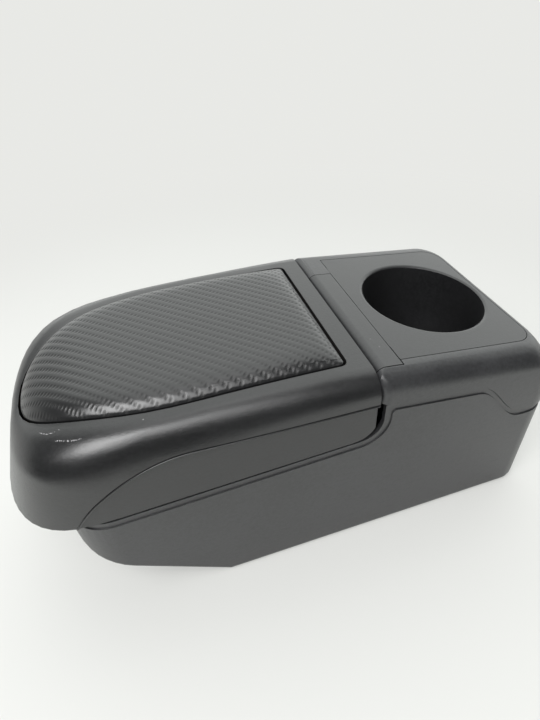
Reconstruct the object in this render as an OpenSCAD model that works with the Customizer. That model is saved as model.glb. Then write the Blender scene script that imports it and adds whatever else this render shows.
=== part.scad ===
/* [Overall] */
// Length from the nose of the lid to the back wall
overall_len = 329; // [320:1:340]
// Width across the side walls at the lid's lower edge
body_w = 145; // [141:0.5:150]
// Height of the cup plate at its front edge above the base
body_h = 135; // [131:0.5:140]
// Fall of the cup plate towards the back, in degrees
top_fall = 7.8; // [6:0.2:9]
// Radius of the rounded shoulder that runs along the top edges
shoulder_r = 13; // [11.5:0.25:14]
// Inward lean of the side walls from their foot to the shoulder
wall_lean = 0.5; // [0.2:0.1:1.5]
// Width of the fine seams between fixed panels
seam = 0.5; // [0.3:0.05:0.7]

/* [Cup holder] */
// Length of the cup plate from its front edge to its back edge
plate_len = 92; // [90:0.5:95]
// Width of the cup plate
plate_w = 115; // [108:0.5:116]
// Radius of the cup plate's back corners
plate_corner_r = 12; // [8:0.5:16]
// Thickness of the cup plate
plate_t = 3; // [2.5:0.1:3.6]
// Distance from the cup plate's front edge to the cup's centre
cup_back = 49; // [47:0.5:50]
// Inner radius of the cup well
cup_r = 38; // [34:0.25:39]
// Depth of the cup well below the plate, at its centre
cup_depth = 74; // [60:1:85]
// Wall of the cup well
cup_wall = 2; // [1.6:0.1:2.4]
// Width of the rounded lip around the cup hole
cup_lip = 2.9; // [2:0.1:3.2]
// Distance from the cup plate's back edge to the back wall's foot
rear_band = 15.5; // [14.5:0.25:18]
// Width of the rounded edge between the cup plate and the back face
rear_edge = 2; // [1.6:0.1:2.6]
// Slope of the back face where it meets that edge, in degrees
rear_slope = 50; // [46:1:56]
// Radius of the box's back corners at their foot, seen from above
foot_corner_r = 16; // [13:0.5:20]

/* [Hinge] */
// Width of the hinge cover strip from front to back
strip_w = 17; // [16:0.25:20]
// Radius of the strip's rounded front edge, centred on the hinge axis
barrel_r = 5.7; // [5.4:0.1:6.5]
// Distance of the strip's near end from the middle of the box
strip_near = 61; // [59:0.5:62]
// Distance of the strip's far end from the middle of the box
strip_far = 38; // [35:0.5:42]
// Wall of the hinge cover strip
strip_t = 2; // [1.6:0.1:2.2]
// Radius of the hinge pins
pin_r = 1.5; // [1.3:0.05:1.6]
// Running clearance between pin and knuckle
pin_clear = 0.06; // [0.04:0.01:0.09]
// Width of each hinge arm along the axis
arm_w = 6; // [5:0.25:8]
// Distance of each hinge arm from the middle of the strip
arm_out = 34; // [28:0.5:36]
// Drop of the hinge arms below the axis
arm_drop = 15; // [13.5:0.25:16]
// Thickness of the hinge lugs on the bulkhead
lug_w = 4; // [3.5:0.25:5]
// Gap between the lid's back face and the strip
lid_gap = 0.7; // [0.5:0.05:1]

/* [Lid] */
// Depth of the lid at its back edge
lid_h = 43.5; // [41:0.5:45]
// Slope of the lid's lower edge towards the nose, in degrees
lid_edge_fall = 2; // [1.5:0.1:2.5]
// Radius of the long arch of the lid's top
arch_r = 1480; // [1300:10:1700]
// Distance from the lid's back edge to the top of its arch
arch_back = 94; // [85:1:100]
// Extra drop of the top surface at the pad's front
nose_drop = 14.4; // [12:0.2:16]
// Distance from the nose tip to where that drop starts
nose_bend = 73; // [68:1:80]
// Distance from the nose tip at the lower edge to the rim of the top surface
nose_run = 12.5; // [11:0.5:14]
// Width of the rounded edge round the top surface at the nose
nose_round = 4; // [3:0.25:5]
// Depth of the upper lid shell along the sides at its back edge
skirt_h = 18.5; // [17.5:0.25:20]
// Slope of the upper shell's lower edge relative to level, in degrees
skirt_rise = 2.4; // [2:0.1:3]
// Gap between the upper shell's edge and the lower panel
skirt_gap = 0.8; // [0.5:0.1:1.2]
// Height of the bead along the upper shell's lower edge
bead_h = 1; // [0.8:0.1:1.6]
// Depth of the fine groove above that bead
bead_cut = 0.4; // [0.3:0.05:0.6]
// Radius with which that edge turns down towards the nose
sweep_r = 75; // [70:1:80]
// Angle at which that edge runs down to the nose, in degrees
sweep_angle = 58; // [54:1:62]
// Distance from the nose tip to the start of that turn
sweep_start = 103; // [100:0.5:108]
// Radius of the lid's lower back corners
lid_corner_r = 13; // [10:0.5:14]
// Wall of the upper lid shell
lid_t = 2.4; // [2:0.1:2.6]
// Inset of the lower lid panel behind the upper shell
panel_inset = 1; // [0.7:0.1:1.3]
// Wall of the lower lid panel, measured from the outer face of the lid
panel_in = 4.2; // [4:0.1:5]
// Height of the lid's inner ceiling above its lower edge
ceiling_h = 12; // [10:0.5:14]
// Thickness of the lid's inner ceiling
ceiling_t = 2; // [1.8:0.1:2.5]

/* [Pad] */
// Width of the pad
pad_w = 107; // [102:0.5:109]
// Distance from the lid's back edge to the pad
pad_rear = 12; // [10:0.5:14]
// Distance from the nose tip to the pad's front
pad_front = 17; // [16.5:0.25:19]
// Depth of the pad's recess in the lid
recess_h = 6; // [5.5:0.1:6.5]
// Height of the pad's top above the lid
pad_proud = 1.6; // [1.2:0.1:2.2]
// Gap round the pad
pad_gap = 0.7; // [0.5:0.05:0.9]
// Thickness of the pad's backing board
board_t = 2; // [1.8:0.1:2.4]

/* [Tub] */
// Wall of the tub
tub_t = 3.8; // [3.4:0.1:4.2]
// Thickness of the tub's floor
floor_t = 3; // [2.5:0.1:4]
// Distance from the nose of the lid to the tub's front wall
tub_back = 28.5; // [27:0.5:32]
// Distance from the nose of the lid to the foot of the ramp
ramp_back = 109; // [105:1:113]
// Angle of the ramp under the front, in degrees
ramp_angle = 35; // [32:0.5:37]
// Radius between the ramp and the front wall
ramp_r = 26; // [22:1:30]
// Radius of the tub's front corners seen from above
front_corner_r = 26; // [20:1:32]
// Radius of the tub's lower edges
foot_r = 5; // [4.2:0.2:6]
// Height of the stepped rim band
rim_band = 4.2; // [3.5:0.1:5]
// Inset of the stepped rim band
rim_inset = 0.8; // [0.5:0.1:1]
// Gap between the tub's rim and the lid's lower edge
rim_gap = 1.3; // [1:0.1:1.6]
// Gap between the ear and the lid's back edge
ear_gap = 4; // [3.5:0.25:5]
// Radius at the foot of the ear
ear_r = 14; // [12:0.5:15]
// Height of the tongue that reaches up inside the rear housing
tongue_h = 5; // [4:0.5:7]
// Wall of the housing's ears beside the strip
ear_wall = 2; // [1.6:0.1:2.4]
// Wall of the rear housing
housing_t = 2.2; // [2:0.1:2.4]
// Depth of the rear housing along the sides, below the top plane
cheek_h = 18.5; // [17.5:0.25:19.5]
// Depth of the rear housing at the back wall, below the plate's front edge
back_h = 56.5; // [54:0.5:59]
// Distance from the back wall to the lower end of the S-curve
s_back = 22; // [19:0.5:24]
// Distance from the back wall to the upper end of the S-curve
s_front = 60; // [57:0.5:63]
// Thickness of the bulkhead that carries the hinge
bulkhead_t = 2.6; // [2.2:0.1:3]
// Spacing of the base fixing holes along the box
fix_x = 80; // [70:1:90]
// Spacing of the base fixing holes across the box
fix_y = 90; // [80:1:100]
// Radius of the base fixing holes
fix_r = 2.75; // [2.25:0.25:3.25]

/* [Fasteners] */
// Radius of the screw shanks
screw_r = 1.5; // [1.3:0.05:1.7]
// Radius of the screw heads
head_r = 3; // [2.7:0.1:3.3]
// Height of the screw heads
head_h = 2; // [1.6:0.1:2.2]
// Outer radius of the screw bosses
boss_r = 4; // [3.8:0.1:4.5]
// Radius of the rubber bumpers
bumper_r = 3.5; // [3:0.25:4]

/* [Hidden] */
clear = 0.1;
fit = 0.3;
near = -1;
far = 1;

// Overall places
nose_x = -overall_len / 2;
rear_x = overall_len / 2;
half_w = body_w / 2;
wall_half = half_w - wall_lean;
fall = tan(top_fall);
plate_front = rear_x - rear_band - plate_len;
strip_front = plate_front - strip_w;
lid_rear = strip_front - lid_gap;
axis_x = strip_front + barrel_r;
function plane_z(x) = body_h - (x - plate_front) * fall;
axis_z = plane_z(axis_x) - barrel_r / cos(top_fall);
strip_mid = (strip_far - strip_near) / 2;
arm_y = [strip_mid - arm_out, strip_mid + arm_out];

// Height of the lid's top and of its lower edge
arch_x = lid_rear - arch_back;
arch_z = plane_z(lid_rear) + arch_back * arch_back / (2 * arch_r);
bend_power = 2.7;
rim_x = nose_x + nose_run + nose_round;
function lid_z(x) = arch_z - pow(x - arch_x, 2) / (2 * arch_r)
  - nose_drop * pow(max(0, (nose_x + nose_bend - x) / (nose_bend - pad_front)), bend_power);
function lid_low(x) = plane_z(lid_rear) - lid_h - (lid_rear - x) * tan(lid_edge_fall);

// Point lists
function mix(a, b, t) = a + (b - a) * t;
function flat_ring(half, z) = [for (p = half) [p[0], p[1], z]];
function both_sides(half) = concat(half,
  [for (i = [len(half) - 1:-1:0]) [half[i][0], -half[i][1], half[i][2]]]);
function arc(cx, cz, r, a0, a1, n) = [for (i = [0:n]) let (a = mix(a0, a1, i / n))
  [cx + r * cos(a), cz + r * sin(a)]];

// A closed skin over rings of equal length, each ring mirrored about the middle
// plane, so that both end caps are ladders of flat rungs from side to side
module skin(rings) {
  count = len(rings[0]);
  half = count / 2;
  last = (len(rings) - 1) * count;
  sides = [for (k = [0:len(rings) - 2]) for (i = [0:count - 1]) let (j = (i + 1) % count)
    each [[k * count + i, k * count + j, (k + 1) * count + j],
          [k * count + i, (k + 1) * count + j, (k + 1) * count + i]]];
  top = [for (i = [0:half - 2])
    each [[last + i, last + i + 1, last + count - 2 - i],
          [last + i, last + count - 2 - i, last + count - 1 - i]]];
  base = [for (i = [0:half - 2])
    each [[i, count - 2 - i, i + 1],
          [i, count - 1 - i, count - 2 - i]]];
  polyhedron(points = [for (r = rings) each r], faces = concat(sides, top, base));
}

// Prism across the box with the outline given in length and height
module across(y0 = -200, y1 = 200) {
  translate([0, y1, 0]) rotate([90, 0, 0]) linear_extrude(y1 - y0) children();
}

// Outline of a nose-shaped panel: straight sides and a superelliptic nose
side_n = 8;
nose_n = 12;
nose_step = 90 / (nose_n + 0.5);
function nose_share(i) = i < side_n ? 0 : sin(nose_step * (i - side_n)) / sin(nose_step * nose_n);
function nose_side(half, rear, start, tip, power) = concat(
  [for (i = [0:side_n - 1]) [mix(rear, start, i / side_n), -half]],
  [for (i = [0:nose_n]) [mix(start, tip, pow(nose_share(i + side_n), 2 / power)),
    -half * pow(cos(nose_step * i), 2 / power)]]);

// Pad front, and the length and fullness of the nose it shares with the lid's rim
pad_tip = nose_x + pad_front;
pad_len = 96;
pad_power = 2.25;

// Lid outlines: foot of the wall, wall line at the top's height, rim of the top
edge_r = 1.6;
foot_len = 60;
foot_power = 2.9;
crest_len = 70;
crest_power = 2.65;
foot_tip = nose_x - nose_run * edge_r / (lid_z(rim_x) - lid_low(nose_x));
function lid_foot(d) = nose_side(half_w - d, lid_rear - d, nose_x + foot_len, foot_tip + d,
  foot_power);
function lid_crest(d) = nose_side(wall_half - d, lid_rear - d,
  nose_x + nose_run + crest_len, nose_x + nose_run + d, crest_power);
function lid_rim(d) = nose_side(wall_half - shoulder_r, lid_rear - d,
  pad_tip + pad_len, rim_x + d * 0.5, pad_power);

// Depth of a rounded shoulder that spans from rim to crest
function shoulder_depth(rim, crest) = shoulder_r * pow(norm(rim - crest) / shoulder_r, 0.8);

// Form of the lid, drawn in by d at its walls and by top_d at its top
round_n = 6;
module lid_form(d = 0, top_d = 0, low_d = 0) {
  foot = lid_foot(d);
  crest = lid_crest(d);
  rim = lid_rim(d);
  index = [0:len(foot) - 1];
  edge = d == 0 ? edge_r : 0.4;
  foot_z = [for (i = index) lid_low(foot[i][0])];
  top_z = [for (i = index) lid_z(rim[i][0])];
  low_z = [for (i = index) foot_z[i] + low_d];
  depth = [for (i = index) max(2.5, shoulder_depth(rim[i], crest[i]) - top_d)];
  function wall(i, z) = let (t = (z - foot_z[i]) / (top_z[i] - foot_z[i]))
    [mix(foot[i][0], crest[i][0], t), mix(foot[i][1], crest[i][1], t), z];
  inner = lid_foot(d + edge);
  waist = lid_foot(d + edge * 0.3);
  low0 = [for (i = index) [inner[i][0], inner[i][1], low_z[i]]];
  low1 = [for (i = index) [waist[i][0], waist[i][1], low_z[i] + edge * 0.3]];
  low2 = [for (i = index) wall(i, low_z[i] + edge)];
  function turn(i, t) = let (u = 1 - t, w = sqrt(0.5), s = u * u + 2 * w * u * t + t * t,
      z = top_z[i] - top_d, hip = wall(i, z - depth[i]), peak = wall(i, z))
    [(u * u * hip[0] + 2 * w * u * t * peak[0] + t * t * rim[i][0]) / s,
     (u * u * hip[1] + 2 * w * u * t * peak[1] + t * t * rim[i][1]) / s,
     (u * u * hip[2] + (2 * w * u * t + t * t) * z) / s];
  skin([both_sides(low0), both_sides(low1), both_sides(low2),
    for (k = [0:round_n]) both_sides([for (i = index) turn(i, k / round_n)])]);
}

// Line in side view where the upper lid shell ends
sweep_x = nose_x + sweep_start;
skirt_z = plane_z(lid_rear) - skirt_h;
sweep_z = skirt_z + (lid_rear - sweep_x) * tan(skirt_rise);
sweep_cx = sweep_x - sweep_r * sin(skirt_rise);
sweep_cz = sweep_z - sweep_r * cos(skirt_rise);
sweep_n = 16;
function skirt_line(dz) = concat(
  [[lid_rear + 20, skirt_z - 20 * tan(skirt_rise) + dz]],
  [for (i = [0:sweep_n]) let (a = mix(skirt_rise, -sweep_angle, i / sweep_n))
    [sweep_cx + sweep_r * sin(a), sweep_cz + sweep_r * cos(a) + dz]],
  [[sweep_cx - sweep_r * sin(sweep_angle) - 90 * cos(sweep_angle),
    sweep_cz + sweep_r * cos(sweep_angle) - 90 * sin(sweep_angle) + dz]]);
module above_skirt(dz = 0) {
  across() polygon(concat(skirt_line(dz), [[nose_x - 40, sweep_z - 100],
    [nose_x - 40, body_h + 60], [lid_rear + 20, body_h + 60]]));
}
module below_skirt(dz) {
  across() polygon(concat(skirt_line(dz), [[lid_rear + 20, 0]]));
}

// Pad outline, drawn out by g
pad_corner = 4;
pad_back = lid_rear - pad_rear;
pad_half = pad_w / 2;
function pad_side(g) = let (r = pad_corner + min(g, 0), h = pad_half + g, b = pad_back + g)
  concat([for (i = [0:3]) [b - r + r * cos(30 * i), -(h - r) - r * sin(30 * i)]],
    nose_side(h, b - r - 4, pad_tip + pad_len, pad_tip - g, pad_power));
function pad_ring(g, z) = both_sides([for (p = pad_side(g)) [p[0], p[1], lid_z(p[0]) + z]]);

// Rear housing form, drawn in by d at its walls and by top_d at its top
plate_end = plate_front + plate_len;
crest_back = plate_end + rear_edge;
corner_x = plate_end - plate_corner_r;
corner_y = plate_w / 2 - plate_corner_r;
back_z = body_h - back_h;
corner_n = 7;
ear_round = 6;
function house_side(half, back, rx, ry, front, fr) = concat(
  [for (i = [0:corner_n]) let (a = 90 * i / corner_n)
    [back - rx + rx * cos(a), -(half - ry) - ry * sin(a)]],
  [for (i = [1:2]) [mix(back - rx, front + fr, i / 3), -half]],
  [for (i = [0:4]) let (a = 90 * i / 4) [front + fr - fr * sin(a), -(half - fr) - fr * cos(a)]]);
function bulge(s) = (1 - sqrt(1 - pow(s * cos(rear_slope), 2))) / (1 - sin(rear_slope));
module house_form(d = 0, top_d = 0, front_d = 0) {
  front = strip_front + front_d;
  rim_half = wall_half - shoulder_r;
  rim_back = plate_end + seam;
  rim = house_side(rim_half, rim_back, rim_back - corner_x, rim_half - corner_y, front, 2);
  crest = house_side(wall_half - d, crest_back - min(d, rear_edge - seam - 0.2),
    crest_back - min(d, rear_edge - seam - 0.2) - corner_x, wall_half - d - corner_y, front, ear_round);
  foot = house_side(half_w - d, rear_x - d, foot_corner_r - d, foot_corner_r - d, front, ear_round);
  index = [0:len(rim) - 1];
  foot_z = back_z + tongue_h;
  top_z = [for (i = index) plane_z(rim[i][0]) - top_d];
  depth = [for (i = index) max(1, shoulder_depth(rim[i], crest[i]) - top_d)];
  function wall(i, s) = let (z = mix(foot_z, top_z[i], s), h = bulge(s))
    [mix(foot[i][0], crest[i][0], h), mix(foot[i][1], crest[i][1], h), z];
  hip_s = [for (i = index) 1 - depth[i] / (top_z[i] - foot_z)];
  function turn(i, t) = let (u = 1 - t, w = sqrt(0.5), s = u * u + 2 * w * u * t + t * t,
      hip = wall(i, hip_s[i]))
    [(u * u * hip[0] + 2 * w * u * t * crest[i][0] + t * t * rim[i][0]) / s,
     (u * u * hip[1] + 2 * w * u * t * crest[i][1] + t * t * rim[i][1]) / s,
     (u * u * hip[2] + (2 * w * u * t + t * t) * top_z[i]) / s];
  skin([both_sides(flat_ring(foot, back_z - 25)),
    for (k = [0:4]) both_sides([for (i = index) wall(i, hip_s[i] * k / 5)]),
    for (k = [0:round_n]) both_sides([for (i = index) turn(i, k / round_n)])]);
}

// Line in side view between rear housing and tub, lowered by dz
s_x0 = rear_x - s_front;
s_x1 = rear_x - s_back;
s_n = 14;
function house_line_z(x) = let (t = min(1, max(0, (x - s_x0) / (s_x1 - s_x0))))
  mix(plane_z(x) - cheek_h, back_z, (1 - cos(180 * t)) / 2);
function house_line(x0, dz) = concat([[x0, house_line_z(x0) - dz]],
  [for (i = [0:s_n]) let (x = mix(s_x0, s_x1, i / s_n)) [x, house_line_z(x) - dz]],
  [[rear_x + 20, back_z - dz]]);
module above_line(dz) {
  across() polygon(concat(house_line(strip_front - 20, dz),
    [[rear_x + 20, body_h + 60], [strip_front - 20, body_h + 60]]));
}

// Line of the tub's rim in side view, lowered by dz along the lid and the ear
ear_x = lid_rear + ear_gap;
function rim_z(x) = lid_low(x) - rim_gap;
function rim_line(dz) = let (z0 = rim_z(ear_x) - dz, r = ear_r + dz, cx = ear_x - ear_r)
  concat([[nose_x, rim_z(nose_x) - dz], [cx, z0]],
    arc(cx, z0 + r, r, -80, 0, 8),
    [[ear_x + dz, house_line_z(ear_x + dz) - seam - dz - min(dz, 2)]],
    house_line(ear_x + dz + min(dz, 2), seam + dz));
module below_rim(dz = 0) {
  across() polygon(concat(rim_line(dz), [[rear_x + 20, -20], [nose_x, -20]]));
}

// Tub form by sections along its length, drawn in by d and floored by low
tub_front = nose_x + tub_back;
ramp_x = nose_x + ramp_back;
ramp_cx = tub_front + ramp_r;
ramp_cz = ramp_r / cos(ramp_angle) + (ramp_x - ramp_cx) * tan(ramp_angle);
rear_corner = foot_corner_r;
function belly_z(x, low) = x < ramp_cx - (ramp_r - low) * sin(ramp_angle)
  ? ramp_cz - sqrt(max(0, pow(ramp_r - low, 2) - pow(ramp_cx - x, 2)))
  : max(low, (ramp_x - x) * tan(ramp_angle) + low / cos(ramp_angle));
function plan_half(x, d) = let (rf = front_corner_r - d, rr = rear_corner - d,
    f = max(0, tub_front + front_corner_r - x), b = max(0, x - (rear_x - rear_corner)))
  half_w - d - (rf - sqrt(max(0, rf * rf - f * f))) - (rr - sqrt(max(0, rr * rr - b * b)));
module tub_form(d = 0, low = 0) {
  rf = front_corner_r - d;
  rr = rear_corner - d;
  fr = d == 0 ? foot_r : d < 2 ? foot_r - d : 1;
  stations = concat(
    [for (i = [7:-1:0]) rear_x - rear_corner + rr * sin(90 * i / 7)],
    [ramp_x + 12, ramp_x + 4, ramp_x, ramp_x - 4, ramp_x - 24],
    [for (i = [0:9]) tub_front + front_corner_r - rf * sin(90 * i / 9)]);
  function section(x) = let (w = plan_half(x, d), z = belly_z(x, low))
    concat([[x, -w, body_h + 10]],
      [for (i = [0:4]) let (a = 90 * i / 4)
        [x, -(w - wall_lean - fr) - fr * cos(a), z + fr - fr * sin(a)]]);
  skin([for (x = stations) both_sides(section(x))]);
}

// Screw with a pan head: the head's under side lies at the origin, shank upwards
module screw(length) {
  rotate_extrude($fn = 32) polygon([[0, -head_h], [head_r * 0.7, -head_h],
    [head_r, -head_h * 0.5], [head_r, 0], [screw_r, 0], [screw_r, length - screw_r],
    [0, length]]);
}
module post(r, z0, z1) {
  translate([0, 0, z0]) cylinder(r = r, h = z1 - z0, $fn = 32);
}
hole_r = screw_r + 0.25;
pilot_r = screw_r;

// Knuckles on the hinge axis and the bulkhead behind them
lug_gap = 0.4;
arm_t = 3.2;
arm_root = lid_rear - panel_inset - 1.5;
knuckle_r = barrel_r - strip_t - fit;
bulk_x0 = axis_x + knuckle_r + 2.4;
bulk_x1 = bulk_x0 + bulkhead_t;

// Screw and bumper places
lid_screw_x = [lid_rear - 18, nose_x + 74];
lid_screw_y = 44;
pad_screw_x = [pad_back - 24, nose_x + 62];
pad_screw_y = 30;
tail_screw_x = [bulk_x1 + 9, rear_x - 17];
tail_screw_y = [half_w - 16, half_w - 24];
plate_screw_u = [9, plate_len - 9];
plate_screw_y = plate_w / 2 - 9;
cover_screw_y = [strip_mid - 22, strip_mid + 22];
bumper_y = 30;
bumper_x = tub_front + tub_t + bumper_r + 1.5;
bumper_h = 2.4;
tail_base = 20;
ceiling_top = ceiling_h + ceiling_t;
cover_screw_z = axis_z - 9;
flange_x0 = bulk_x1 + clear;

// Region of the side view between two heights above the lid's lower edge
module lid_band(z0, z1) {
  across() polygon([[nose_x - 20, lid_low(nose_x - 20) + z0],
    [nose_x - 20, lid_low(nose_x - 20) + z1],
    [lid_rear + 20, lid_low(lid_rear + 20) + z1],
    [lid_rear + 20, lid_low(lid_rear + 20) + z0]]);
}
module lid_corner_cut() {
  z = lid_low(lid_rear);
  x = lid_rear - lid_corner_r;
  across() difference() {
    translate([x, z - 10]) square([lid_corner_r + 10, lid_corner_r + 10]);
    translate([x, z + lid_corner_r]) circle(r = lid_corner_r, $fn = 64);
  }
}

// Flat outline of the cup plate in its own sloping plane, drawn out by g
plate_run = plate_len / cos(top_fall);
module plate_outline(g) {
  r = plate_corner_r;
  half = plate_w / 2;
  translate([-g, -half - g]) square([plate_run - r + g, 2 * (half + g)]);
  translate([0, -half + r]) square([plate_run + g, 2 * (half - r)]);
  for (s = [near, far]) translate([plate_run - r, s * (half - r)]) circle(r = r + g, $fn = 64);
}
module on_plate() {
  translate([plate_front, 0, body_h]) rotate([0, top_fall, 0]) children();
}
cup_x = plate_front + cup_back;
cup_z = plane_z(cup_x);
cup_u = cup_back / cos(top_fall);
lip_bite = 0.25;
lip_rise = 0.03;

// Side view of the strip: flat top that rolls over the hinge axis in front
module strip_profile(in, back, low) {
  r = barrel_r - in;
  top_x = axis_x + r * sin(top_fall);
  top_z = axis_z + r * cos(top_fall);
  polygon(concat([[back, axis_z + low], [back, top_z - (back - top_x) * fall]],
    arc(axis_x, axis_z, r, 90 - top_fall, 180, 14), [[axis_x - r, axis_z + low]]));
}

module lower_tub() color([0.16, 0.16, 0.165]) {
  difference() {
    union() {
      difference() {
        union() {
          intersection() { tub_form(); below_rim(rim_band); }
          intersection() { tub_form(rim_inset); below_rim(); }
          intersection() {
            tub_form(housing_t + fit + wall_lean / 2);
            across() polygon(concat(house_line(ear_x + 3, -tongue_h),
              [[rear_x + 20, 0], [ear_x + 3, 0]]));
          }
        }
        tub_form(tub_t, floor_t);
      }
      intersection() {
        tub_form(tub_t - 0.5, floor_t - 0.5);
        union() {
          translate([bulk_x0, -half_w, 0])
            cube([bulkhead_t, body_w, house_line_z(bulk_x1) - 2]);
          translate([bulk_x0, -strip_near + 3, 0])
            cube([bulkhead_t, strip_near + strip_far - 6, axis_z + 0.5]);
          for (s = [near, far])
            translate([0, s * bumper_y, 0]) {
              translate([bumper_x, 0, 0])
                cylinder(r = bumper_r + 1.2, h = rim_z(bumper_x), $fn = 40);
              translate([tub_front, -bumper_r - 1.2, 0])
                cube([bumper_x - tub_front, 2 * (bumper_r + 1.2), rim_z(bumper_x)]);
            }
          for (i = [0, 1]) for (s = [near, far])
            translate([tail_screw_x[i], s * tail_screw_y[i], 0])
              cylinder(r = head_r + 2.2, h = tail_base, $fn = 40);
        }
      }
      for (y = arm_y) for (s = [near, far])
        translate([0, s * (arm_w / 2 + lug_gap + lug_w / 2), 0]) across(y - lug_w / 2, y + lug_w / 2) {
          translate([axis_x, axis_z]) circle(r = knuckle_r, $fn = 48);
          polygon([[axis_x + knuckle_r * sin(20), axis_z + knuckle_r * cos(20)],
            [bulk_x0 + 0.5, axis_z], [bulk_x0 + 0.5, axis_z - 16],
            [axis_x - knuckle_r * cos(35), axis_z - knuckle_r * sin(35)],
            [axis_x, axis_z]]);
        }
    }
    for (y = arm_y) translate([axis_x, y, axis_z]) rotate([90, 0, 0])
      cylinder(r = pin_r, h = 2 * lug_w + arm_w + 2, center = true, $fn = 48);
    for (y = cover_screw_y) translate([bulk_x0 - 1, y, cover_screw_z]) rotate([0, 90, 0])
      cylinder(r = pilot_r, h = bulkhead_t + 2, $fn = 32);
    for (sx = [near, far]) for (sy = [near, far])
      translate([sx * fix_x / 2, sy * fix_y / 2, -1]) cylinder(r = fix_r, h = floor_t + 2, $fn = 40);
    for (i = [0, 1]) for (s = [near, far]) translate([tail_screw_x[i], s * tail_screw_y[i], 0]) {
      translate([0, 0, -1]) cylinder(r = head_r + 0.4, h = tail_base - 2, $fn = 40);
      cylinder(r = hole_r, h = tail_base + 1, $fn = 32);
    }
    for (s = [near, far]) translate([bumper_x, s * bumper_y, rim_z(bumper_x) - 4])
      cylinder(r = 1.5, h = 5, $fn = 32);
  }
}

module rear_housing() color([0.15, 0.15, 0.155]) {
  floor_u = plate_t + clear;
  difference() {
    union() {
      difference() {
        intersection() {
          house_form();
          above_line(0);
          union() {
            across() strip_profile(0, axis_x + 1, -axis_z);
            translate([axis_x, -100, 0]) cube([rear_x, 200, body_h + 40]);
          }
        }
        difference() {
          house_form(housing_t, plate_t + housing_t + clear, housing_t);
          for (y = [-strip_near - seam - ear_wall, strip_far + seam])
            translate([strip_front, y, 0]) cube([strip_w, ear_wall, body_h + 20]);
        }
      }
      intersection() {
        house_form(housing_t, plate_t);
        union()
          for (i = [0, 1]) for (s = [near, far])
            translate([tail_screw_x[i], s * tail_screw_y[i], 0]) post(boss_r, tail_base + 0.2, body_h);
      }
    }
    on_plate() translate([0, 0, -floor_u]) linear_extrude(30) plate_outline(0);
    translate([strip_front - 5, -strip_near - seam, 0])
      cube([plate_front - strip_front + 5 + seam, strip_near + strip_far + 2 * seam, body_h + 20]);
    translate([cup_x, 0, body_h - 40]) cylinder(r = cup_r + cup_wall + 0.4, h = 60, $fn = 96);
    for (i = [0, 1]) for (s = [near, far]) {
      translate([tail_screw_x[i], s * tail_screw_y[i], tail_base - 1])
        cylinder(r = pilot_r, h = 18, $fn = 32);
      on_plate() translate([plate_screw_u[i], s * plate_screw_y, -20])
        cylinder(r = boss_r + 0.3, h = 25, $fn = 40);
    }
  }
}

module cup_plate() color([0.2, 0.2, 0.2]) {
  difference() {
    union() {
      on_plate() translate([0, 0, -plate_t]) linear_extrude(plate_t) plate_outline(-seam / 2);
      translate([cup_x, 0, cup_z - cup_depth - cup_wall])
        cylinder(r = cup_r + cup_wall, h = cup_depth + cup_wall - plate_t * 0.5 - cup_r * fall, $fn = 96);
      intersection() {
        translate([cup_x, 0, cup_z - cup_r]) cylinder(r = cup_r + cup_wall, h = cup_r * 2, $fn = 96);
        on_plate() translate([0, -half_w, -30]) cube([plate_run, body_w, 29]);
      }
      on_plate() for (u = plate_screw_u) for (s = [near, far])
        translate([u, s * plate_screw_y, -plate_t - housing_t - 4])
          cylinder(r = boss_r, h = housing_t + 5, $fn = 40);
    }
    translate([cup_x, 0, cup_z - cup_depth]) rotate_extrude($fn = 96) {
      square([cup_r - 4, cup_depth + 20]);
      translate([0, 4]) square([cup_r, cup_depth + 16]);
      translate([cup_r - 4, 4]) circle(r = 4, $fn = 32);
    }
    on_plate() translate([cup_u, 0, 0]) rotate_extrude($fn = 96) difference() {
      translate([cup_r - 1, -cup_lip]) square([cup_lip + 1 - lip_bite, cup_lip + 1]);
      translate([cup_r + cup_lip - lip_bite, lip_rise - cup_lip]) circle(r = cup_lip, $fn = 48);
    }
    on_plate() for (u = plate_screw_u) for (s = [near, far])
      translate([u, s * plate_screw_y, -plate_t - housing_t - 5])
        cylinder(r = pilot_r, h = housing_t + 6.5, $fn = 32);
  }
}

module hinge_cover() color([0.2, 0.2, 0.2]) {
  back = plate_front - seam / 2;
  difference() {
    union() {
      across(-strip_near, strip_far) difference() {
        strip_profile(0, back, -1);
        strip_profile(strip_t, back + 1, -3);
      }
      for (y = cover_screw_y) translate([flange_x0, y - 7, cover_screw_z - 5])
        cube([2, 14, plane_z(plate_front) - strip_t - cover_screw_z + 5.5]);
    }
    for (y = arm_y) translate([axis_x - barrel_r - 1, y - arm_w / 2 - 0.7, axis_z - 5])
      cube([barrel_r, arm_w + 1.4, 7.8]);
    for (y = arm_y) translate([bulk_x0 - 8, y - arm_w / 2 - lug_w - 1, axis_z - 5])
      cube([8.4, arm_w + 2 * lug_w + 2, 4]);
    for (y = cover_screw_y) translate([flange_x0 - 1, y, cover_screw_z]) rotate([0, 90, 0])
      cylinder(r = hole_r, h = 6, $fn = 32);
  }
}

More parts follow.
